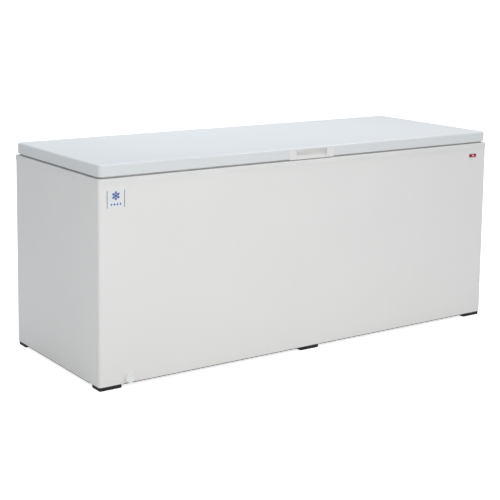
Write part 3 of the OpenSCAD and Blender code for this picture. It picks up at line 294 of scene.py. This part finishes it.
def mouldedPlastic(name, colour, roughness=0.42, grain=900.0, grainDepth=0.08):
    # moulded plastic: even colour with slight flow marks and a fine spark-eroded grain
    material, tree, shader, place = startMaterial(name, roughness)
    flow = noise(tree, stretch(tree, place, (1.0, 1.0, 3.0)), 6.0, 3.0)
    tree.links.new(blend(tree, mapped(tree, flow, 0, 1, 0.3, 0.7), shade(colour, 0.97), shade(colour, 1.02)),
                   shader.inputs["Base Color"])
    tree.links.new(mapped(tree, noise(tree, place, 40.0, 3.0), roughness - 0.05, roughness + 0.08, 0.3, 0.7),
                   shader.inputs["Roughness"])
    addBump(tree, shader, noise(tree, place, grain, 2.0), grainDepth, 0.0003)
    return material


def zincSheet(name, colour=(0.56, 0.57, 0.58)):
    # hot-dip zinc: leaf-like spangles of varied brightness, each with its own polish
    material, tree, shader, place = startMaterial(name, 0.4, 1.0)
    leaf = cells(tree, place, 90.0, "F1", "Color")
    grey = tree.nodes.new("ShaderNodeSeparateColor")
    tree.links.new(leaf, grey.inputs["Color"])
    smear = noise(tree, place, 14.0, 4.0)
    both = sums(tree, "ADD", sums(tree, "MULTIPLY", grey.outputs["Red"], 0.6),
                sums(tree, "MULTIPLY", smear, 0.4))
    tree.links.new(blend(tree, mapped(tree, both, 0, 1, 0.15, 0.85), shade(colour, 0.80), shade(colour, 1.18)),
                   shader.inputs["Base Color"])
    tree.links.new(mapped(tree, grey.outputs["Green"], 0.30, 0.52), shader.inputs["Roughness"])
    addBump(tree, shader, noise(tree, place, 300.0, 2.0), 0.08, 0.0004)
    return material


def plainMetal(name, colour, roughness=0.3, along=(1.0, 1.0, 1.0), lines=400.0, depth=0.05):
    # drawn or plated metal: fine lines along one direction, dull patches
    material, tree, shader, place = startMaterial(name, roughness, 1.0)
    drawn = noise(tree, stretch(tree, place, along), lines, 3.0)
    patch = noise(tree, place, 22.0, 4.0, 0.6)
    tree.links.new(blend(tree, mapped(tree, patch, 0, 1, 0.3, 0.7), shade(colour, 0.82), shade(colour, 1.08)),
                   shader.inputs["Base Color"])
    tree.links.new(mapped(tree, drawn, roughness - 0.08, roughness + 0.12, 0.3, 0.7),
                   shader.inputs["Roughness"])
    addBump(tree, shader, drawn, depth, 0.0002)
    return material


def embossedTank(name):
    # white-coated aluminium with pebble embossing about 5 mm across
    material, tree, shader, place = startMaterial(name, 0.34)
    drift = noise(tree, place, 2.3, 3.0)
    tree.links.new(blend(tree, mapped(tree, drift, 0, 1, 0.3, 0.7), (0.76, 0.775, 0.785), (0.81, 0.82, 0.83)),
                   shader.inputs["Base Color"])
    pebble = cells(tree, place, 190.0, "SMOOTH_F1")
    addBump(tree, shader, pebble, 0.35, 0.0012)
    shader.inputs["Metallic"].default_value = 0.15
    return material


def softRubber(name, colour, roughness=0.6):
    # vinyl or rubber: matt with a bloom and fine pitting
    material, tree, shader, place = startMaterial(name, roughness, 0.0, 0.35)
    bloom = noise(tree, place, 30.0, 5.0, 0.65)
    tree.links.new(blend(tree, mapped(tree, bloom, 0, 1, 0.3, 0.75), shade(colour, 0.9), shade(colour, 1.15)),
                   shader.inputs["Base Color"])
    tree.links.new(mapped(tree, bloom, roughness - 0.08, roughness + 0.1, 0.3, 0.7), shader.inputs["Roughness"])
    addBump(tree, shader, noise(tree, place, 1400.0, 2.0), 0.12, 0.0003)
    return material


def rawFoam(name):
    # poured foam: yellow, mottled, with small open cells
    material, tree, shader, place = startMaterial(name, 0.85, 0.0, 0.2)
    mottle = noise(tree, place, 12.0, 5.0, 0.6)
    tree.links.new(blend(tree, mapped(tree, mottle, 0, 1, 0.3, 0.7), (0.74, 0.62, 0.36), (0.86, 0.77, 0.52)),
                   shader.inputs["Base Color"])
    addBump(tree, shader, cells(tree, place, 700.0), 0.5, 0.001)
    return material


def blackEnamel(name):
    # thick black enamel over a drawn shell: slight ripple, dust on top
    material, tree, shader, place = startMaterial(name, 0.28)
    dust = noise(tree, place, 34.0, 6.0, 0.7)
    tree.links.new(blend(tree, mapped(tree, dust, 0, 1, 0.5, 0.8), (0.012, 0.012, 0.013), (0.045, 0.043, 0.04)),
                   shader.inputs["Base Color"])
    tree.links.new(mapped(tree, dust, 0.22, 0.5, 0.35, 0.8), shader.inputs["Roughness"])
    addBump(tree, shader, noise(tree, place, 60.0, 2.0), 0.12, 0.0015)
    return material


def lampPlastic(name, colour, glow=0.0, centre=(0.0, 0.0, 0.0), reach=1.0):
    # tinted lens plastic, lit from behind with a glow that fades away from its centre
    material, tree, shader, place = startMaterial(name, 0.16)
    fleck = noise(tree, place, 220.0, 2.0)
    tree.links.new(blend(tree, fleck, shade(colour, 0.8), shade(colour, 1.2)), shader.inputs["Base Color"])
    away = tree.nodes.new("ShaderNodeVectorMath")
    away.operation = "DISTANCE"
    away.inputs[1].default_value = centre
    tree.links.new(place, away.inputs[0])
    tree.links.new(mapped(tree, away.outputs["Value"], glow, 0.0, 0.0, reach),
                   shader.inputs["Emission Strength"])
    shader.inputs["Emission Color"].default_value = (1.0, 0.30, 0.34, 1.0)
    shader.inputs["Coat Weight"].default_value = 0.6
    shader.inputs["Coat Roughness"].default_value = 0.06
    addBump(tree, shader, fleck, 0.03, 0.0003)
    return material


finishes = {
    "wrapPaint": paintedSheet("wrapPaint", (0.865, 0.842, 0.808)),
    "lidPaint": paintedSheet("lidPaint", (0.79, 0.795, 0.785), 0.28, 0.05),
    "whitePlastic": mouldedPlastic("whitePlastic", (0.845, 0.83, 0.80), 0.38),
    "innerPlastic": mouldedPlastic("innerPlastic", (0.80, 0.81, 0.815), 0.30),
    "zincSheet": zincSheet("zincSheet"),
    # near-black sheet: painted shade, for galvanised steel along the cabinet's bottom edge that looks dark only
    # because it is in shadow
    "darkSheetPaintedShade": paintedSheet("darkSheetPaintedShade", (0.085, 0.087, 0.09), 0.45),
    "tankCoat": embossedTank("tankCoat"),
    "foam": rawFoam("foam"),
    "badgeFoil": mouldedPlastic("badgeFoil", (0.86, 0.86, 0.85), 0.22, 300.0, 0.02),
    "gasketVinyl": softRubber("gasketVinyl", (0.74, 0.74, 0.73), 0.5),
    "footBlack": mouldedPlastic("footBlack", (0.010, 0.010, 0.011), 0.5, 700.0, 0.2),
    "lampRed": lampPlastic("lampRed", (0.20, 0.012, 0.012)),
    "emblemBlue": mouldedPlastic("emblemBlue", (0.02, 0.10, 0.42), 0.3, 300.0, 0.02),
    "edgeGrey": mouldedPlastic("edgeGrey", (0.14, 0.145, 0.15), 0.35, 300.0, 0.02),
    "capWhite": mouldedPlastic("capWhite", (0.90, 0.90, 0.87), 0.34),
    "springSteel": plainMetal("springSteel", (0.50, 0.50, 0.51), 0.28, (1.0, 1.0, 1.0), 500.0),
    "caseGrey": mouldedPlastic("caseGrey", (0.60, 0.60, 0.57), 0.5),
    "tubePlastic": mouldedPlastic("tubePlastic", (0.60, 0.61, 0.62), 0.45),
    "plugRubber": softRubber("plugRubber", (0.022, 0.022, 0.023), 0.62),
    "compressorEnamel": blackEnamel("compressorEnamel"),
    "zincPlate": plainMetal("zincPlate", (0.60, 0.60, 0.585), 0.34, (1.0, 1.0, 1.0), 300.0),
    "copper": plainMetal("copper", (0.72, 0.33, 0.18), 0.26, (1.0, 1.0, 0.2), 500.0),
    "aluminium": plainMetal("aluminium", (0.74, 0.75, 0.76), 0.32, (0.1, 1.0, 1.0), 500.0),
    "fanBlack": mouldedPlastic("fanBlack", (0.018, 0.018, 0.02), 0.45),
    "motorPaint": paintedSheet("motorPaint", (0.16, 0.17, 0.185), 0.42),
    "wireCoat": mouldedPlastic("wireCoat", (0.80, 0.80, 0.79), 0.3, 500.0, 0.1),
}
slotFinish = {
    "painted_white": "wrapPaint", "lid_white": "lidPaint", "galvanised": "zincSheet", "dark_paint": "darkSheetPaintedShade",
    "tank_coat": "tankCoat", "foam": "foam", "white_plastic": "whitePlastic", "badge": "badgeFoil",
    "gasket": "gasketVinyl", "foot_black": "footBlack", "lamp_red": "lampRed", "thermostat_case": "caseGrey",
    "tube_plastic": "tubePlastic", "plug_rubber": "plugRubber", "compressor_black": "compressorEnamel",
    "zinc": "zincPlate", "copper": "copper", "aluminium": "aluminium", "fan_black": "fanBlack",
    "motor_paint": "motorPaint", "basket_wire": "wireCoat",
}
nodeFinish = {"lid_inner_pan": "innerPlastic"}
slotOf = {part["node"]: part["material_slot"] for part in frame["record"]["subparts"]}
for name, piece in cad.items():
    material = finishes[nodeFinish.get(name, slotFinish[slotOf[name]])]
    piece.data.materials.clear()
    piece.data.materials.append(material)
print("finishes on %d nodes" % len(cad))


def sweptShell(path, profile, normal, closed=False):
    # point (i, j) = path_i + side_i * profile_j[0] + normal_i * profile_j[1], where side = along x normal
    path, profile = np.asarray(path, float), np.asarray(profile, float)
    normal = np.broadcast_to(np.asarray(normal, float), path.shape)
    along = np.roll(path, -1, 0) - np.roll(path, 1, 0) if closed else np.gradient(path, axis=0)
    side = np.cross(along / np.linalg.norm(along, axis=1, keepdims=True), normal)
    points = path[:, None] + side[:, None] * profile[None, :, :1] + normal[:, None] * profile[None, :, 1:]
    rows, columns = len(path), len(profile)
    groups = [gridFaces(rows, columns, closed, True)]
    if not closed:
        j = np.arange(columns)
        groups.append(np.stack([j[::-1], (rows - 1) * columns + j]))
    return points.reshape(-1, 3), groups


def gridFaces(rows, columns, closeRows, closeColumns):
    # quad (i, j) joins points (i, j), (i, j+1), (i+1, j+1), (i+1, j); point (i, j) is number i * columns + j
    i = np.arange(rows if closeRows else rows - 1)[:, None]
    j = np.arange(columns if closeColumns else columns - 1)[None]
    after, beside = (i + 1) % rows, (j + 1) % columns
    quads = [i * columns + j, i * columns + beside, after * columns + beside, after * columns + j]
    return np.stack(quads, -1).reshape(-1, 4)


def endFans(rows, count):
    # triangles from each end's centre to its ring; the two centres follow the rows * count ring points
    k = np.arange(count)
    beside, base, first = (k + 1) % count, (rows - 1) * count, rows * count
    low = np.stack([np.full(count, first), beside, k], -1)
    high = np.stack([np.full(count, first + 1), base + k, base + beside], -1)
    return [low, high]


def turnedShell(centre, rings, count, ripple=None):
    # point (i, a) = centre + (r_i cos a, depth_i, r_i sin a); a ripple scales r_i; ends close on a centre point
    radius, depth = np.asarray(rings, float).T
    angle = np.linspace(0, 2 * np.pi, count, endpoint=False)
    scale = ripple(radius[:, None], depth[:, None], angle[None]) if ripple else np.ones((len(radius), count))
    r = radius[:, None] * scale
    ring = np.stack([r * np.cos(angle), np.repeat(depth[:, None], count, 1), r * np.sin(angle)], -1)
    ends = np.array([[0, depth[0], 0], [0, depth[-1], 0]])
    points = np.concatenate([ring.reshape(-1, 3), ends]) + np.asarray(centre)
    return points, [gridFaces(len(radius), count, False, True), *endFans(len(radius), count)]


def addPiece(name, shells, body, finish, stands=(), smooth=35.0):
    # joins the shells into one mesh, faces outward, and hangs it on its body
    points, faces, start = [], [], 0
    for shellPoints, groups in shells:
        points.append(shellPoints)
        for group in groups:
            faces += (start + group).tolist()
        start += len(shellPoints)
    mesh = bpy.data.meshes.new(name)
    mesh.from_pydata(np.concatenate(points).tolist(), [], faces)
    work = bmesh.new()
    work.from_mesh(mesh)
    bmesh.ops.recalc_face_normals(work, faces=work.faces)
    work.to_mesh(mesh)
    work.free()
    mesh.polygons.foreach_set("use_smooth", np.ones(len(mesh.polygons), bool))
    mesh.set_sharp_from_angle(angle=math.radians(smooth))
    mesh.materials.append(finishes[finish])
    piece = bpy.data.objects.new(name, mesh)
    bpy.context.scene.collection.objects.link(piece)
    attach(piece, body)
    if stands:
        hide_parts(*stands)
    return piece


def arcPoints(centre, radius, start, end, steps):
    # (cx + r cos a, cy + r sin a) for even angles from start to end, in degrees
    a = np.radians(np.linspace(start, end, steps))
    return np.stack([centre[0] + radius * np.cos(a), centre[1] + radius * np.sin(a)], -1)


drainCap = {"ribs": 30, "pointsPerRib": 6, "ribDepth": 0.045, "edge": 0.0018, "dish": 0.0012, "wall": 0.0022}


def makeDrainCap(s):
    # a moulded cap with a dished face, a rounded rim and finger ribs round its side
    low, high = (Vector(v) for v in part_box("drain_cap"))
    r, length = (high.x - low.x) / 2, high.y - low.y
    edge = arcPoints((r - s["edge"], s["edge"]), s["edge"], -90, 0, 7)
    rings = [(r * 0.30, s["dish"]), (r * 0.62, s["dish"]), (r * 0.70, 0.3 * s["dish"]), (r * 0.74, 0.0), *edge]
    rings += [(r, s["edge"] + 0.0012)] + [(r, d) for d in np.linspace(s["edge"] + 0.002, length - 0.0022, 6)]
    rings += [(r, length - 0.0014), (r, length), (r - s["wall"], length), (r - s["wall"], length - 0.004)]

    def ribs(radius, depth, angle):
        # 1 - ribDepth * sin(ribs * a / 2)^4 on the side only
        onSide = (radius > 0.97 * r) & (depth > s["edge"] + 0.0015) & (depth < length - 0.0016)
        return 1 - onSide * s["ribDepth"] * np.sin(s["ribs"] * angle / 2) ** 4

    centre = ((low.x + high.x) / 2, low.y, (low.z + high.z) / 2)
    shell = turnedShell(centre, rings, s["ribs"] * s["pointsPerRib"], ribs)
    addPiece("drainCapMoulded", [shell], "drain_cap", "capWhite", ["drain_cap"])


lens = {"power": 5.0, "count": 96, "rings": 14, "dome": 0.0011, "rib": 0.00012, "ribPitch": 0.0016, "glow": 1.5}


def makeLens(s):
    # a domed rounded-oblong lens: at ring t and angle a, x = w t sgn(cos a) |cos a|^(2/power), z likewise
    # with sin a, and depth = dome t^4 with fine upright ribs
    low, high = (Vector(v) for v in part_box("lamp_lens"))
    half = ((high.x - low.x) / 2, (high.z - low.z) / 2)
    centre = ((low.x + high.x) / 2, low.y, (low.z + high.z) / 2)
    angle = np.linspace(0, 2 * np.pi, s["count"], endpoint=False)
    t = np.linspace(0.05, 1.0, s["rings"])[:, None]

    def outline(w, trig):
        return w * np.sign(trig) * np.abs(trig) ** (2 / s["power"])

    x, z = t * outline(half[0], np.cos(angle)), t * outline(half[1], np.sin(angle))
    y = s["dome"] * t ** 4 + s["rib"] * (1 + np.cos(2 * np.pi * x / s["ribPitch"])) * (t < 0.9)
    front = np.stack([x, y, z], -1)
    back = front[-1:] + np.array([0, high.y - low.y - s["dome"], 0])
    ring = np.concatenate([front, back]).reshape(-1, 3)
    ends = np.array([[0, s["rib"] * 2, 0], [0, high.y - low.y, 0]])
    rows, count = s["rings"] + 1, s["count"]
    finishes["lensGlow"] = lampPlastic("lensGlow", (0.26, 0.014, 0.016), s["glow"], centre, half[0] * 0.55)
    points = np.concatenate([ring, ends]) + np.asarray(centre)
    groups = [gridFaces(rows, count, False, True), *endFans(rows, count)]
    addPiece("lampLensDomed", [(points, groups)], "cabinet", "lensGlow", ["lamp_lens"])


badge = {
    "flakeDown": 0.325, "starsDown": 0.79,     # shares of the plate's height
    "flakeRadius": 0.0175, "barWidth": 0.0028, "relief": 0.0006,
    "branches": ((0.42, 0.30), (0.68, 0.24)),  # place and length of each pair, in shares of the radius
    "stars": 4, "starPitch": 0.0125, "starRadius": 0.0058, "starWaist": 0.40,
    "starBevel": 0.0003,
    "edgeWidth": 0.0021, "edgeInset": 0.0022, "sink": 0.0004,
}


def makeBadge(s):
    # a raised snowflake over a row of four-pointed stars, between two narrow upright edge strips
    low, high = (Vector(v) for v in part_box("badge_plate"))
    tall, middle = high.z - low.z, (low.x + high.x) / 2
    out = (0.0, -1.0, 0.0)
    half, top = s["barWidth"] / 2, s["relief"]
    ridge = [(-half, -s["sink"]), (-half, top * 0.6), (-half * 0.6, top), (half * 0.6, top), (half, top * 0.6),
             (half, -s["sink"])]

    def bar(start, end, profile=ridge):
        path = [(x, low.y, z) for x, z in (start, end)]
        return sweptShell(path, profile, out)

    hub = np.array([middle, high.z - s["flakeDown"] * tall])
    shells = []
    for turn in np.radians(np.arange(30, 390, 60)):
        arm = np.array([np.cos(turn), np.sin(turn)]) * s["flakeRadius"]
        shells.append(bar(hub, hub + arm))
        for share, length in s["branches"]:
            for lean in (-1, 1):
                tip = np.array([np.cos(turn + lean * np.pi / 3), np.sin(turn + lean * np.pi / 3)])
                shells.append(bar(hub + arm * share, hub + arm * share + tip * length * s["flakeRadius"]))
    addPiece("badgeSnowflake", shells, "cabinet", "emblemBlue")

    corners = np.radians(np.arange(0, 360, 45))
    count = len(corners)
    reach = s["starRadius"] * np.where(np.arange(count) % 2 == 0, 1.0, s["starWaist"])
    back, front = low.y + s["sink"], low.y - top
    starZ = high.z - s["starsDown"] * tall
    groups = [gridFaces(2, count, False, True), *endFans(2, count)]
    stars = []
    for place in (np.arange(s["stars"]) - (s["stars"] - 1) / 2) * s["starPitch"]:
        x = middle + place
        outline = np.stack([x + reach * np.cos(corners), np.full(count, back),
                            starZ + reach * np.sin(corners)], -1)
        raised = np.stack([outline[:, 0], np.full(count, front + s["starBevel"]), outline[:, 2]], -1)
        stars.append((np.concatenate([outline, raised, [[x, back, starZ], [x, front, starZ]]]), groups))
    addPiece("badgeStars", stars, "cabinet", "emblemBlue", smooth=20.0)

    half = s["edgeWidth"] / 2
    strip = [(-half, -s["sink"]), (-half, top * 0.7), (-half * 0.5, top), (half * 0.5, top), (half, top * 0.7),
             (half, -s["sink"])]
    inset = s["edgeInset"]
    edges = [bar((x, low.z + inset), (x, high.z - inset), strip) for x in (low.x + inset, high.x - inset)]
    addPiece("badgeEdges", edges, "cabinet", "edgeGrey")


gasket = {"width": 0.014, "radius": 0.018, "folds": 2, "foldDepth": 0.0016, "endTaper": 0.0006,
          "lip": 0.0065, "lipLow": 0.25, "lipHigh": 0.92, "cornerSteps": 14, "sideSteps": 60}


def roundedLoop(low, high, radius, height, cornerSteps, sideSteps):
    # four quarter arcs joined by straight runs, anticlockwise from above
    corners = ((high[0], low[1], -90), (high[0], high[1], 0), (low[0], high[1], 90), (low[0], low[1], 180))
    loop = []
    for x, y, start in corners:
        centre = (x - math.copysign(radius, x - (low[0] + high[0]) / 2),
                  y - math.copysign(radius, y - (low[1] + high[1]) / 2))
        arc = arcPoints(centre, radius, start, start + 90, cornerSteps)
        if loop:
            loop.append(np.linspace(loop[-1][-1], arc[0], sideSteps)[1:-1])
        loop.append(arc)
    loop.append(np.linspace(loop[-1][-1], loop[0][0], sideSteps)[1:-1])
    flat = np.concatenate(loop)
    return np.column_stack([flat, np.full(len(flat), height)])


def makeGasket(s):
    # bellows: half width = w/2 - foldDepth * sin(pi folds t)^2 going up; outside, a soft dust lip stands out
    # by lip * sin(pi u)^(1/2), where u runs from 0 at lipLow to 1 at lipHigh
    low, high = (Vector(v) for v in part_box("lid_gasket"))
    width, height = s["width"], high.z - low.z
    t = np.linspace(0.0, 1.0, 25)
    fold = s["foldDepth"] * np.sin(np.pi * s["folds"] * t) ** 2
    halfWidth = width / 2 - fold - s["endTaper"] * (np.abs(2 * t - 1) > 0.99)
    u = np.clip((t - s["lipLow"]) / (s["lipHigh"] - s["lipLow"]), 0, 1)
    outer = np.stack([halfWidth + s["lip"] * np.sqrt(np.sin(np.pi * u)), t * height], -1)
    inner = np.stack([-halfWidth, t * height], -1)
    profile = np.concatenate([outer, inner[::-1]])
    centre = width / 2
    loop = roundedLoop((low.x + centre, low.y + centre), (high.x - centre, high.y - centre),
                       s["radius"] - centre, low.z, s["cornerSteps"], s["sideSteps"])
    addPiece("gasketBellows", [sweptShell(loop, profile, (0, 0, 1), True)], "lid", "gasketVinyl",
             ["lid_gasket"], 50.0)


spring = {"turns": 10, "stepsPerTurn": 28, "wirePoints": 12, "wireRadius": 0.0009, "closing": 0.05}


def makeSpring(s, side):
    # helix round the hinge pin: x = x0 + L (t - closing sin 2 pi t), angle = 2 pi turns t, with round wire
    node = "hinge_spring_" + side
    low, high = (Vector(v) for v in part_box(node))
    axisY, axisZ = (low.y + high.y) / 2, (low.z + high.z) / 2
    wire = s["wireRadius"]
    reach = (high.z - low.z) / 2 - wire
    t = np.linspace(0, 1, s["turns"] * s["stepsPerTurn"] + 1)
    angle = 2 * np.pi * s["turns"] * t
    x = low.x + wire + (high.x - low.x - 2 * wire) * (t - s["closing"] * np.sin(2 * np.pi * t))
    radial = np.stack([np.zeros_like(t), np.cos(angle), np.sin(angle)], -1)
    path = np.stack([x, np.full_like(t, axisY), np.full_like(t, axisZ)], -1) + radial * reach
    ring = arcPoints((0, 0), wire, 0, 360, s["wirePoints"] + 1)[:-1]
    coil = sweptShell(path, ring, radial)
    addPiece("spring" + side.capitalize(), [coil], "cabinet", "springSteel", [node])


makeDrainCap(drainCap)
makeLens(lens)
makeBadge(badge)
makeGasket(gasket)
for side in ("left", "right"):
    makeSpring(spring, side)
print("cap, lens, badge, gasket and springs made")
